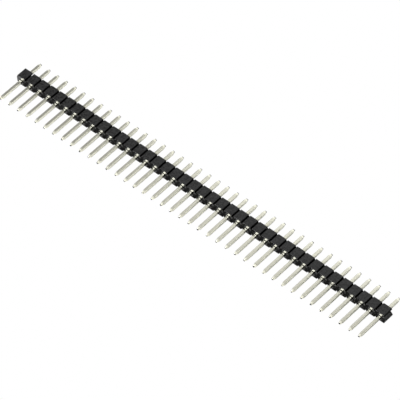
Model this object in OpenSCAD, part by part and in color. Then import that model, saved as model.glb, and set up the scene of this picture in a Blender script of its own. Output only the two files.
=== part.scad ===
// Single-row breakaway pin header strip.
//
// The strip lies on its side, the way it comes to rest on a table. X runs along the row,
// +Y points along the solder tails, -Y along the longer mating ends, and +Z is up. The
// origin is the middle of the seating face, where the pins' centre plane cuts it. That
// face lies against the circuit board when the strip is soldered in.

/* [Row] */
// Number of contacts in the strip
pin_count = 40; // [2:1:50]
// Distance between neighbouring contacts
pitch = 2.54; // [2:0.01:5.08]

/* [Housing] */
// Width of the housing across the row
body_w = 2.5; // [2:0.05:4]
// Length of the housing along the pins
body_l = 2.5; // [1:0.05:6]
// Width of a break notch at the housing's surface
notch_w = 0.5; // [0.3:0.05:0.8]
// Width of the flat floor of a break notch
notch_floor = 0.12; // [0.04:0.02:0.26]
// Depth of a break notch, cut from each wide side
notch_d = 0.5; // [0.1:0.05:0.8]
// Chamfer round each passage in the mating face, where the pins are pressed in
lead_in = 0.2; // [0.05:0.05:0.3]

/* [Pins] */
// Side of the square pins
pin_size = 0.64; // [0.4:0.01:0.8]
// Clearance on each side of a pin in its passage; zero is a press fit
pin_fit = 0; // [0:0.005:0.05]
// Length of a mating end beyond the housing
mating_l = 6.4; // [2.5:0.1:20]
// Length of a solder tail beyond the seating face
tail_l = 3.5; // [2.5:0.1:20]
// Length of the coined taper at each tip
tip_l = 0.7; // [0.2:0.05:1.2]
// Side of the square left at the end of a tip
tip_size = 0.3; // [0.1:0.01:0.38]

/* [Torn hollows] */
// Wall left between the hollow torn out of the +X end and the nearest passage
end_chip_wall = 0.3; // [0.1:0.05:0.6]
// Length of that hollow along the pins, from the seating face
end_chip_l = 0.8; // [0.2:0.05:0.9]
// Wall left between the hollow torn out at the first notch and the nearest passage
notch_chip_wall = 0.15; // [0.1:0.05:0.6]
// Length of that hollow along the pins, from the seating face
notch_chip_l = 1; // [0.2:0.05:1.2]
// How far a hollow runs up the notch wall over its web
chip_lip = 0.35; // [0.05:0.05:0.4]
// Web left standing under a hollow
chip_ledge = 0.15; // [0.05:0.05:0.3]

/* [Hidden] */
row_l = pin_count * pitch;
web_top = body_w / 2 - notch_d;
mating_tip_y = -body_l - mating_l;
cut_over = 0.5;

function pin_name(i) = str("pin_", i < 10 ? "0" : "", i);
function pin_x(i) = (i - (pin_count + 1) / 2) * pitch;
function notch_x(k) = k * pitch - row_l / 2;

// The upper edge of the housing's section, from the left end to the right one. Each notch
// gives its two rims and the two corners of its floor, and each end is half a notch.
function upper_edge() = concat(
    [[-row_l / 2, web_top]],
    [for (k = [0:pin_count])
        for (c = [[-notch_w / 2, body_w / 2], [-notch_floor / 2, web_top],
                  [notch_floor / 2, web_top], [notch_w / 2, body_w / 2]])
            if ((k > 0 || c.x > 0) && (k < pin_count || c.x < 0))
                [notch_x(k) + c.x, c.y]],
    [[row_l / 2, web_top]]
);

// The same edge seen from below, from the right end back to the left one.
function lower_edge() = let (upper = upper_edge())
    [for (i = [len(upper) - 1:-1:0]) [upper[i].x, -upper[i].y]];

// One flank of a passage, from past the mating face to past the seating face.
module passage_plate() {
    half = pin_size / 2 + pin_fit;
    mouth = half + lead_in;
    linear_extrude(height = 2 * mouth, center = true)
        polygon([
            [-mouth, -body_l - cut_over], [mouth, -body_l - cut_over],
            [mouth, -body_l], [half, -body_l + lead_in], [half, cut_over],
            [-half, cut_over], [-half, -body_l + lead_in], [-mouth, -body_l]
        ]);
}

// A square passage is where two such plates cross, so its mouth is chamfered all round.
module passage() {
    intersection() {
        passage_plate();
        rotate([0, 90, 0]) passage_plate();
    }
}

// A hollow torn out of the web whose middle is at x = web_x. Nothing of that web is left
// for open_l beyond its middle. Seen along the pins the hollow is a V that opens there;
// seen from above it dies out away from the seating face.
module torn_hollow(web_x, open_l, wall, length) {
    depth = pitch / 2 - pin_size / 2 - pin_fit - wall;
    low_z = chip_ledge - web_top;
    lip_z = web_top + chip_lip;
    lip_x = notch_floor / 2 + chip_lip * (notch_w - notch_floor) / 2 / notch_d;
    intersection() {
        rotate([90, 0, 0])
            linear_extrude(height = 2 * (length + cut_over), center = true)
                polygon([
                    [web_x - depth, (web_top + low_z) / 2], [web_x, low_z],
                    [web_x + open_l, low_z], [web_x + open_l, lip_z], [web_x - lip_x, lip_z]
                ]);
        linear_extrude(height = body_w, center = true)
            polygon([
                [web_x - depth, cut_over], [web_x - depth, 0], [web_x, -length],
                [web_x + open_l, -length], [web_x + open_l, cut_over]
            ]);
    }
}

module housing() {
    color("#2c2c2e")
        difference() {
            rotate([90, 0, 0])
                linear_extrude(height = body_l)
                    polygon(concat(upper_edge(), lower_edge()));
            for (i = [1:pin_count])
                translate([pin_x(i), 0, 0]) passage();
            torn_hollow(row_l / 2, cut_over, end_chip_wall, end_chip_l);
            torn_hollow(notch_x(1), notch_floor / 2, notch_chip_wall, notch_chip_l);
        }
}

// One flank of a pin: straight sides and a taper at both tips.
module pin_outline() {
    half = pin_size / 2;
    tip = tip_size / 2;
    polygon([
        [-tip, mating_tip_y], [tip, mating_tip_y],
        [half, mating_tip_y + tip_l], [half, tail_l - tip_l],
        [tip, tail_l], [-tip, tail_l],
        [-half, tail_l - tip_l], [-half, mating_tip_y + tip_l]
    ]);
}

module pin_plate() {
    linear_extrude(height = pin_size, center = true) pin_outline();
}

// A square pin is where two such plates cross, so all four sides of a tip are tapered.
module pin(i) {
    color("#d8d6c8")
        translate([pin_x(i), 0, 0])
            intersection() {
                pin_plate();
                rotate([0, 90, 0]) pin_plate();
            }
}

housing();
for (i = [1:pin_count])
    pin(i);
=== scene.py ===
import bmesh
import bpy
from math import cos, pi, radians, sin
from mathutils import Matrix, Vector, noise


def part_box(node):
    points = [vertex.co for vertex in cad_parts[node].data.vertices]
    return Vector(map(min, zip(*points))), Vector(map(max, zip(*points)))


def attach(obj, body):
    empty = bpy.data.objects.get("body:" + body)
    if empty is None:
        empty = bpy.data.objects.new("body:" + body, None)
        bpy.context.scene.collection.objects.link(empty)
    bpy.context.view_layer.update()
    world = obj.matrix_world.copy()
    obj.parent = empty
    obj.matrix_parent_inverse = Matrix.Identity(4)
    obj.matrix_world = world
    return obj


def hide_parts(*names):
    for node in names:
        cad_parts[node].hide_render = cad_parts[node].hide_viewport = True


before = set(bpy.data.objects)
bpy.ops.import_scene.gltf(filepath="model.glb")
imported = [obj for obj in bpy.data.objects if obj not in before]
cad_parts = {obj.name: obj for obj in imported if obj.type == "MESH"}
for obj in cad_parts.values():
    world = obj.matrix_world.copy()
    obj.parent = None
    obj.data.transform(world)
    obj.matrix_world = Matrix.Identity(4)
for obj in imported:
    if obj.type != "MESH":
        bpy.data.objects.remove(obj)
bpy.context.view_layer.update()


# ---------------------------------------------------------------------------------------
# The housing: one moulding of black glass-filled nylon that grips every pin. Thin webs
# join its segments, and a V notch over and under each web lets the strip be snapped to
# length, so both of its ends are torn webs.

METRES = 0.001            # everything is shaped in millimetres and brought to metres last
pin_nodes = sorted(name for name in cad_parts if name.startswith("pin_"))
low, high = (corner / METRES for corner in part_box("housing"))
pitch = (high.x - low.x) / len(pin_nodes)
pin_low, pin_high = (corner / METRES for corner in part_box(pin_nodes[0]))
pin_half = pin_high.z
notch_mouth = 0.5
notch_floor = 0.12
notch_depth = 0.5
web_top = high.z - notch_depth
mould_radius = 0.04       # the rounding that every moulded edge has
lead_in = 0.2             # the chamfer round each passage in the mating face
touching = 0.001          # points this close to a plane lie on it
near = 0.01               # the same, less strictly
end_margin = 0.1          # keeps the two torn ends out of a selection
corner_limit = radians(30)  # a sharper bend than this counts as a corner


def only(piece):
    """Leaves one piece selected, and makes it the one that operators work on."""
    bpy.ops.object.select_all(action="DESELECT")
    piece.select_set(True)
    bpy.context.view_layer.objects.active = piece


def box_between(name, corner, opposite):
    """A box primitive between two corners, open for editing."""
    bpy.ops.object.select_all(action="DESELECT")
    bpy.ops.mesh.primitive_cube_add(size=1, location=(corner + opposite) / 2)
    piece = bpy.context.object
    piece.name = name
    piece.scale = opposite - corner
    bpy.ops.object.transform_apply(location=True, rotation=True, scale=True)
    bpy.ops.object.mode_set(mode="EDIT")
    return piece


def middle(part):
    """The middle of a face or an edge."""
    return sum((v.co for v in part.verts), Vector()) / len(part.verts)


def pick(kind, passes):
    """Selects the faces or the edges that pass a test, and nothing else."""
    bpy.ops.mesh.select_mode(type={"faces": "FACE", "edges": "EDGE"}[kind])
    bpy.ops.mesh.select_all(action="DESELECT")
    mesh = bmesh.from_edit_mesh(bpy.context.object.data)
    mesh.normal_update()
    for part in getattr(mesh, kind):
        if passes(part):
            part.select_set(True)
    bmesh.update_edit_mesh(bpy.context.object.data)


def slice_across(axis, place):
    """Cuts the whole piece along the plane at one place on an axis."""
    bpy.ops.mesh.select_all(action="SELECT")
    normal = Vector((axis == "x", axis == "y", axis == "z"))
    bpy.ops.mesh.bisect(plane_co=normal * place, plane_no=normal)


def corner_angle(edge):
    """The angle between an edge's two faces, or none on an open edge."""
    return edge.calc_face_angle() if len(edge.link_faces) == 2 else 0.0


def round_edges(radius, steps, passes):
    """Rounds the edges that pass a test."""
    pick("edges", passes)
    bpy.ops.mesh.bevel(offset=radius, offset_type="OFFSET", segments=steps, profile=0.5)


def finish_shape(piece):
    """Leaves edit mode, evens the shading of the flat faces and brings the piece to metres."""
    bpy.ops.mesh.select_all(action="SELECT")
    bpy.ops.mesh.normals_make_consistent(inside=False)
    bpy.ops.object.mode_set(mode="OBJECT")
    only(piece)
    bpy.ops.object.shade_smooth_by_angle(angle=radians(50))
    piece.modifiers.new("Even shading", "WEIGHTED_NORMAL").keep_sharp = True
    bpy.ops.object.modifier_apply(modifier="Even shading")
    piece.scale = Vector((METRES, METRES, METRES))
    bpy.ops.object.transform_apply(location=True, rotation=True, scale=True)


def linear(code):
    """An sRGB hex colour as the linear colour that a shader takes."""
    parts = [int(code[i:i + 2], 16) / 255 for i in (1, 3, 5)]
    light = (p / 12.92 if p <= 0.04045 else ((p + 0.055) / 1.055) ** 2.4 for p in parts)
    return (*light, 1.0)


def add_node(tree, kind, settings=None, links=None):
    """Adds a node. A setting that names a socket fills it, any other is the node's own, and
    each link joins one of its inputs to another node's output."""
    node = tree.nodes.new(kind)
    for name, value in (settings or {}).items():
        if name in node.inputs:
            node.inputs[name].default_value = value
        else:
            setattr(node, name, value)
    for name, source in (links or {}).items():
        tree.links.new(source, node.inputs[name])
    return node


def new_material(name):
    """An empty node material with its output and its Principled shader."""
    material = bpy.data.materials.new(name)
    material.use_nodes = True
    tree = material.node_tree
    tree.nodes.clear()
    shader = add_node(tree, "ShaderNodeBsdfPrincipled")
    add_node(tree, "ShaderNodeOutputMaterial", links={"Surface": shader.outputs["BSDF"]})
    return material, tree, shader


def moulded_nylon():
    """Black glass-filled nylon from a spark-eroded mould: near black, with a soft gloss."""
    material, tree, shader = new_material("black moulded nylon")
    shader.inputs["IOR"].default_value = 1.46
    place = add_node(tree, "ShaderNodeTexCoord").outputs["Object"]
    # The real grit is a few hundredths of a millimetre, drawn this coarse so that it shows.
    blotch_size = 0.45
    grit_size = 0.25
    blotches = add_node(tree, "ShaderNodeTexNoise",
                        {"Scale": 1 / (blotch_size * METRES), "Detail": 3.0}, {"Vector": place})
    grit = add_node(tree, "ShaderNodeTexNoise",
                    {"Scale": 1 / (grit_size * METRES), "Detail": 2.0}, {"Vector": place})
    tone = add_node(tree, "ShaderNodeValToRGB", links={"Fac": blotches.outputs["Fac"]})
    tone.color_ramp.elements[0].position = 0.4
    tone.color_ramp.elements[0].color = linear("#010101")
    tone.color_ramp.elements[1].position = 0.62
    tone.color_ramp.elements[1].color = linear("#1a1a1a")
    tree.links.new(tone.outputs["Color"], shader.inputs["Base Color"])
    gloss = add_node(tree, "ShaderNodeMapRange", {"To Min": 0.18, "To Max": 0.4},
                     {"Value": blotches.outputs["Fac"]})
    tree.links.new(gloss.outputs["Result"], shader.inputs["Roughness"])
    relief = add_node(tree, "ShaderNodeBump", {"Strength": 0.6, "Distance": 0.012 * METRES},
                      {"Height": grit.outputs["Fac"]})
    tree.links.new(relief.outputs["Normal"], shader.inputs["Normal"])
    return material


def shaded_nylon_copy():
    """A darker copy of the same nylon with almost no gloss and a coarse grit: painted shade, for
    faces that look dark because they mirror dark surroundings."""
    material, tree, shader = new_material("black nylon painted shade")
    shader.inputs["IOR"].default_value = 1.46
    # The low specular level and the dark base colour below paint shade; the real faces are as
    # glossy as the rest of the moulding.
    shader.inputs["Specular IOR Level"].default_value = 0.05
    shader.inputs["Roughness"].default_value = 0.4
    place = add_node(tree, "ShaderNodeTexCoord").outputs["Object"]
    # This grit too is drawn coarser than the real one, so that it shows.
    grit_size = 0.2
    grit = add_node(tree, "ShaderNodeTexNoise",
                    {"Scale": 1 / (grit_size * METRES), "Detail": 2.0}, {"Vector": place})
    tone = add_node(tree, "ShaderNodeValToRGB", links={"Fac": grit.outputs["Fac"]})
    tone.color_ramp.elements[0].position = 0.35
    tone.color_ramp.elements[0].color = linear("#050505")
    tone.color_ramp.elements[1].position = 0.7
    tone.color_ramp.elements[1].color = linear("#101010")
    tree.links.new(tone.outputs["Color"], shader.inputs["Base Color"])
    relief = add_node(tree, "ShaderNodeBump", {"Strength": 0.4, "Distance": 0.02 * METRES},
                      {"Height": grit.outputs["Fac"]})
    tree.links.new(relief.outputs["Normal"], shader.inputs["Normal"])
    return material


def torn_nylon():
    """The same nylon where it was torn: the bared glass fibres make it greyer and dull."""
    material, tree, shader = new_material("torn glass filled nylon")
    shader.inputs["IOR"].default_value = 1.46
    shader.inputs["Specular IOR Level"].default_value = 0.15
    shader.inputs["Roughness"].default_value = 0.5
    place = add_node(tree, "ShaderNodeTexCoord").outputs["Object"]
    # Real glass fibres are about a hundredth of a millimetre thick. Tufts this coarse show.
    fibre_size = 0.25
    fibres = add_node(tree, "ShaderNodeTexNoise",
                      {"Scale": 1 / (fibre_size * METRES), "Detail": 3.0}, {"Vector": place})
    tone = add_node(tree, "ShaderNodeValToRGB", links={"Fac": fibres.outputs["Fac"]})
    tone.color_ramp.elements[0].position = 0.35
    tone.color_ramp.elements[0].color = linear("#141414")
    tone.color_ramp.elements[1].position = 0.65
    tone.color_ramp.elements[1].color = linear("#2e2e2d")
    tree.links.new(tone.outputs["Color"], shader.inputs["Base Color"])
    relief = add_node(tree, "ShaderNodeBump", {"Strength": 0.5, "Distance": 0.02 * METRES},
                      {"Height": fibres.outputs["Fac"]})
    tree.links.new(relief.outputs["Normal"], shader.inputs["Normal"])
    return material


# One segment: a web block whose middle rises and sinks into the two wide sides.
first_x = low.x + pitch / 2
segment = box_between("segment", Vector((low.x, low.y, -web_top)),
                      Vector((low.x + pitch, high.y, web_top)))
for side in (-1, 1):
    slice_across("x", first_x + side * (pitch - notch_floor) / 2)
for side in (-1, 1):
    pick("faces", lambda f: f.normal.z * side > 0.9 and abs(middle(f).x - first_x) < pitch / 4)
    bpy.ops.mesh.extrude_region_move(TRANSFORM_OT_translate={"value": (0, 0, side * notch_depth)})
    bpy.ops.transform.resize(
        value=((pitch - notch_mouth) / (pitch - notch_floor), 1, 1),
        center_override=(first_x, 0, 0),
    )

# Its square passage runs from the mating face to the seating face.
for side in (-1, 1):
    slice_across("x", first_x + side * pin_half)
    slice_across("z", side * pin_half)
pick("faces", lambda f: abs(f.normal.y) > 0.9
     and abs(middle(f).x - first_x) < pin_half and abs(middle(f).z) < pin_half)
bpy.ops.mesh.delete(type="FACE")
pick("edges", lambda e: e.is_boundary)
bpy.ops.mesh.bridge_edge_loops()
bpy.ops.object.mode_set(mode="OBJECT")


def is_inner_end(face):
    """True for a segment's end face that another segment's meets."""
    segments_along = (middle(face).x - low.x) / pitch
    return (abs(face.normal.x) > 0.99 and abs(segments_along - round(segments_along)) < near
            and abs(middle(face).x) < high.x - end_margin)


# The segments side by side, welded at the webs into one moulding.
row = [segment]
for number in range(1, len(pin_nodes)):
    another = segment.copy()
    another.data = segment.data.copy()
    another.data.transform(Matrix.Translation((number * pitch, 0, 0)))
    bpy.context.scene.collection.objects.link(another)
    row.append(another)
only(segment)
for another in row:
    another.select_set(True)
bpy.ops.object.join()
housing = segment
housing.name = "housing_moulding"
bpy.ops.object.mode_set(mode="EDIT")
pick("faces", is_inner_end)
bpy.ops.mesh.delete(type="FACE")
bpy.ops.mesh.select_all(action="SELECT")
bpy.ops.mesh.remove_doubles(threshold=touching)


def is_moulded_edge(edge):
    """True for a corner of the moulding, apart from the passages' insides and the torn ends."""
    ends = [v.co for v in edge.verts]
    by_passage = all(abs(p.z) < pin_half + lead_in + near for p in ends)
    in_passage = by_passage and (ends[0] - ends[1]).y != 0
    at_torn_end = all(abs(p.x) > high.x - near for p in ends)
    return corner_angle(edge) > corner_limit and not in_passage and not at_torn_end


def is_passage_mouth(edge):
    """True for the rim of a passage in the mating face, where the pins go in."""
    at_mouth = all(abs(v.co.y - low.y) < touching and abs(v.co.z) < pin_half + near
                   for v in edge.verts)
    return (at_mouth and corner_angle(edge) > corner_limit
            and abs(middle(edge).x) < high.x - end_margin)


round_edges(lead_in, 1, is_passage_mouth)
round_edges(mould_radius, 2, is_moulded_edge)


def is_painted_dark(face):
    """True for the faces that get painted shade: the ends across the pins and the notches, apart
    from the patch round and over each passage in the mating face and that face's corner at the -X
    end, which keep their gloss so that the glints and reflections show."""
    off_pin = (middle(face).x - low.x) % pitch - pitch / 2
    round_pin = abs(off_pin) < pin_half + lead_in
    over_pin = off_pin > 0 and middle(face).z > pin_half
    in_corner = middle(face).x < first_x
    keeps_gloss = face.normal.y < -0.5 and (round_pin or over_pin or in_corner)
    return abs(face.normal.z) < 0.5 and not keeps_gloss


housing.data.materials.clear()
housing.data.materials.append(moulded_nylon())
housing.data.materials.append(shaded_nylon_copy())
# The faces picked here get the darker copy of the nylon, which paints shade on them.
pick("faces", is_painted_dark)
housing.active_material_index = 1
bpy.ops.object.material_slot_assign()

# The torn faces. Each end is a snapped web, rough all over. Next to the seating face a
# hollow is torn out of the +X end, and a larger one out of the web at the first notch.
tear_relief = 0.05
tear_grain = 0.22
hollow_low = -0.6
hollow_high = 1.1
hollow_middle = (web_top + hollow_low) / 2
end_hollow_depth = 0.65
end_hollow_length = 0.8
notch_hollow_depth = 0.8
notch_hollow_length = 1.0
past_end = 0.3            # how far a cut reaches past an end of the strip
past_face = 0.2           # and past the mating and seating faces
past_floor = 0.02         # and past the floors of the notches
tear_cuts = 19            # how finely a torn face is divided


def ragged(place):
    """The height of the torn plastic's roughness at a place."""
    return tear_relief * (0.5 + 0.5 * noise.noise(place / tear_grain))


def hollow_at(place, depth, length):
    """How deep a hollow is at a place on the side of a segment that it opens on. It is a V
    seen along the pins, and it dies out away from the seating face."""
    if place.z > hollow_middle:
        across = (hollow_high - place.z) / (hollow_high - hollow_middle)
    else:
        across = (place.z - hollow_low) / (hollow_middle - hollow_low)
    along = 1 + (place.y - high.y) / length
    slope = (notch_mouth - notch_floor) / 2 / notch_depth
    wall = max(0.0, place.z - web_top) * slope
    return max(wall, min(across, along) * depth + ragged(place) - tear_relief)


def tear_out(corner, opposite, face_x, depth_at):
    """Cuts a box out of the housing, with the side at face_x pushed in by depth_at."""
    torn = box_between("torn out", corner, opposite)
    torn.data.materials.append(torn_plastic)
    inwards = -1 if (corner.x + opposite.x) / 2 > face_x else 1
    pick("faces", lambda f: abs(middle(f).x - face_x) < touching)
    bpy.ops.mesh.subdivide(number_cuts=tear_cuts)
    mesh = bmesh.from_edit_mesh(torn.data)
    for v in mesh.verts:
        if abs(v.co.x - face_x) < touching:
            v.co.x += inwards * depth_at(v.co)
    bmesh.update_edit_mesh(torn.data)
    bpy.ops.object.mode_set(mode="OBJECT")
    only(housing)
    cut = housing.modifiers.new("Tear", "BOOLEAN")
    cut.object = torn
    cut.operation = "DIFFERENCE"
    cut.solver = "EXACT"
    cut.material_mode = "TRANSFER"
    bpy.ops.object.modifier_apply(modifier="Tear")
    bpy.data.objects.remove(torn)


def tear_hollow(web_x, open_length, depth, length):
    """Tears a hollow out of the web at web_x, next to the seating face."""
    tear_out(Vector((web_x, high.y - length, hollow_low)),
             Vector((web_x + open_length, high.y + past_face, hollow_high)),
             web_x, lambda place: hollow_at(place, depth, length))


bpy.ops.object.mode_set(mode="OBJECT")
torn_plastic = torn_nylon()
past_web = Vector((0, past_face, web_top + past_floor))
tear_out(Vector((low.x - past_end, low.y, 0)) - past_web,
         Vector((low.x, high.y, 0)) + past_web, low.x, ragged)
tear_out(Vector((high.x, low.y, 0)) - past_web,
         Vector((high.x + past_end, high.y, 0)) + past_web, high.x, ragged)
tear_hollow(high.x, past_end, end_hollow_depth, end_hollow_length)
tear_hollow(low.x + pitch, notch_floor / 2, notch_hollow_depth, notch_hollow_length)
only(housing)
bpy.ops.object.mode_set(mode="EDIT")
finish_shape(housing)


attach(housing, "root")
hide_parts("housing")


# ---------------------------------------------------------------------------------------
# The contacts: square drawn wire, coined to a blunt point at both ends, plated, and
# pressed through the passages so that a long mating end and a short tail stand out.

wire_radius = 0.06
tip_length = 0.7
tip_half = 0.15
tip_radius = 0.04
tip_margin = 0.02         # a flat rim round the middle of each tip's end
slow_share = 0.55         # the taper is slow over this share of the tip, then faster
slow_width = 0.8          # and this is the wire's width where it quickens


def shape_contact():
    """One contact in the first passage."""
    straight_low = Vector((first_x - pin_half, pin_low.y + tip_length, -pin_half))
    straight_high = Vector((first_x + pin_half, pin_high.y - tip_length, pin_half))
    piece = box_between("contact", straight_low, straight_high)
    round_edges(wire_radius, 3, lambda e: abs(e.verts[0].co.y - e.verts[1].co.y) > 1)
    for side in (-1, 1):
        pick("faces", lambda f: f.normal.y * side > 0.9)
        for share, width in ((slow_share, slow_width),
                             (1 - slow_share, tip_half / pin_half / slow_width)):
            step = (0, side * tip_length * share, 0)
            bpy.ops.mesh.extrude_region_move(TRANSFORM_OT_translate={"value": step})
            bpy.ops.transform.resize(value=(width, 1, width), center_override=(first_x, 0, 0))
    centre_y = (pin_low.y + pin_high.y) / 2
    tip_y = (pin_high.y - pin_low.y) / 2
    round_edges(tip_radius, 2, lambda e: corner_angle(e) > radians(60)
                and abs(middle(e).y - centre_y) > tip_y - near)
    pick("faces", lambda f: abs(f.normal.y) > 0.99)
    bpy.ops.mesh.inset(thickness=tip_margin)
    finish_shape(piece)
    return piece


def plated_wire():
    """Tin plating over drawn brass: a pale warm silver with faint lengthwise draw lines."""
    material, tree, shader = new_material("tin plated drawn wire")
    shader.inputs["Metallic"].default_value = 1.0
    place = add_node(tree, "ShaderNodeTexCoord").outputs["Object"]
    # Real draw lines are finer, and are drawn this coarse so that they show.
    line_width = 0.05
    line_length = 2.5
    across = 1 / (line_width * METRES)
    along = 1 / (line_length * METRES)
    stretched = add_node(tree, "ShaderNodeMapping", {"Scale": (across, along, across)},
                         {"Vector": place})
    lines = add_node(tree, "ShaderNodeTexNoise", {"Scale": 1.0, "Detail": 2.0},
                     {"Vector": stretched.outputs["Vector"]})
    tone = add_node(tree, "ShaderNodeValToRGB", links={"Fac": lines.outputs["Fac"]})
    tone.color_ramp.elements[0].position = 0.3
    tone.color_ramp.elements[0].color = linear("#d3d2c2")
    tone.color_ramp.elements[1].position = 0.7
    tone.color_ramp.elements[1].color = linear("#e2e1d2")
    tree.links.new(tone.outputs["Color"], shader.inputs["Base Color"])
    gloss = add_node(tree, "ShaderNodeMapRange", {"To Min": 0.14, "To Max": 0.26},
                     {"Value": lines.outputs["Fac"]})
    tree.links.new(gloss.outputs["Result"], shader.inputs["Roughness"])
    relief = add_node(tree, "ShaderNodeBump", {"Strength": 0.2, "Distance": 0.004 * METRES},
                      {"Height": lines.outputs["Fac"]})
    tree.links.new(relief.outputs["Normal"], shader.inputs["Normal"])
    return material


model_contact = shape_contact()
model_contact.data.materials.clear()
model_contact.data.materials.append(plated_wire())
for number, node in enumerate(pin_nodes):
    contact = model_contact.copy()
    contact.data = model_contact.data.copy()
    contact.data.transform(Matrix.Translation((number * pitch * METRES, 0, 0)))
    contact.name = node.replace("pin", "contact")
    bpy.context.scene.collection.objects.link(contact)
    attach(contact, "root")
    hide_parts(node)
bpy.data.objects.remove(model_contact)


# ---------------------------------------------------------------------------------------
# The studio: a white table that the strip lies on, under softboxes, and a glowing white
# backdrop all round. The table is hidden from the camera, so it only shows where the pins
# and the housing mirror it, with the shadows that they cast on it.

bpy.ops.object.select_all(action="DESELECT")
bpy.ops.mesh.primitive_plane_add(size=6, location=(0, 0, low.z * METRES))
table = bpy.context.object
table.name = "table"
table.visible_camera = False
white_paper, _, shader = new_material("matt white paper")
shader.inputs["Base Color"].default_value = linear("#e8e8e8")
shader.inputs["Roughness"].default_value = 1.0
shader.inputs["Specular IOR Level"].default_value = 0.0
table.data.materials.append(white_paper)

bpy.ops.mesh.primitive_uv_sphere_add(radius=4)
backdrop = bpy.context.object
backdrop.name = "backdrop"
backdrop.visible_diffuse = False
backdrop.visible_glossy = False
backdrop.visible_transmission = False
backdrop.visible_shadow = False
glowing_white, _, shader = new_material("glowing white backdrop")
shader.inputs["Base Color"].default_value = linear("#000000")
shader.inputs["Specular IOR Level"].default_value = 0.0
shader.inputs["Emission Color"].default_value = linear("#ffffff")
shader.inputs["Emission Strength"].default_value = 1.0
backdrop.data.materials.append(glowing_white)

room = bpy.data.worlds.new("dim room")
room.use_nodes = True
room.node_tree.nodes["Background"].inputs["Color"].default_value = linear("#ffffff")
room.node_tree.nodes["Background"].inputs["Strength"].default_value = 0.3
bpy.context.scene.world = room


def direction(azimuth, elevation):
    """The way from the strip to what stands at this azimuth and elevation, in degrees.
    Azimuth 0 is on the side of the mating ends, and 90 is past the +X end."""
    a, e = radians(azimuth), radians(elevation)
    return Vector((sin(a) * cos(e), -cos(a) * cos(e), sin(e)))


def facing(way):
    """The turn of a lamp or a camera that looks back along a way from the strip."""
    return way.to_track_quat("Z", "Y").to_matrix().to_4x4()


def softbox(name, azimuth, elevation, width, height, brightness):
    """A rectangular softbox, sizes in metres, whose face is brightness times as bright as
    the backdrop."""
    way = direction(azimuth, elevation)
    lamp = bpy.data.lights.new(name, "AREA")
    lamp.shape = "RECTANGLE"
    lamp.size = width
    lamp.size_y = height
    lamp.energy = brightness * pi * width * height
    stand = bpy.data.objects.new(name, lamp)
    stand.matrix_world = Matrix.Translation(way * lamp_distance) @ facing(way)
    stand.visible_camera = False
    bpy.context.scene.collection.objects.link(stand)


# The key makes the glints on the pins, and the fills soften its shadows. The rim shows in
# the pins' edges on the +X side, the back panel in the tops of the pins and of the housing,
# and the top panel in the tapered tips.
lamp_distance = 0.6
softbox("key", -45, 50, 0.25, 0.25, 20)
softbox("low fill", -45, 10, 0.25, 0.25, 4)
softbox("front fill", -10, 50, 0.25, 0.25, 3)
softbox("rim", 130, 35, 0.4, 0.4, 1.6)
softbox("back panel", -165, 30, 0.5, 0.6, 1.1)
softbox("top panel", -105, 65, 0.25, 0.25, 1)

# The camera looks down along the row from its +X end, with a long lens.
towards_camera = direction(46, 49.97)
aim = Vector((1.477, -2.760, 0)) * METRES
camera_distance = 0.8048
camera_roll = -5.08
camera = bpy.data.cameras.new("camera")
camera.sensor_width = 36
camera.lens = 354.15
camera.clip_start = 0.01
camera.clip_end = 100
viewer = bpy.data.objects.new("camera", camera)
viewer.matrix_world = (Matrix.Translation(aim + towards_camera * camera_distance)
                       @ facing(towards_camera) @ Matrix.Rotation(radians(camera_roll), 4, "Z"))
bpy.context.scene.collection.objects.link(viewer)
bpy.context.scene.camera = viewer
bpy.context.scene.view_settings.view_transform = "Standard"
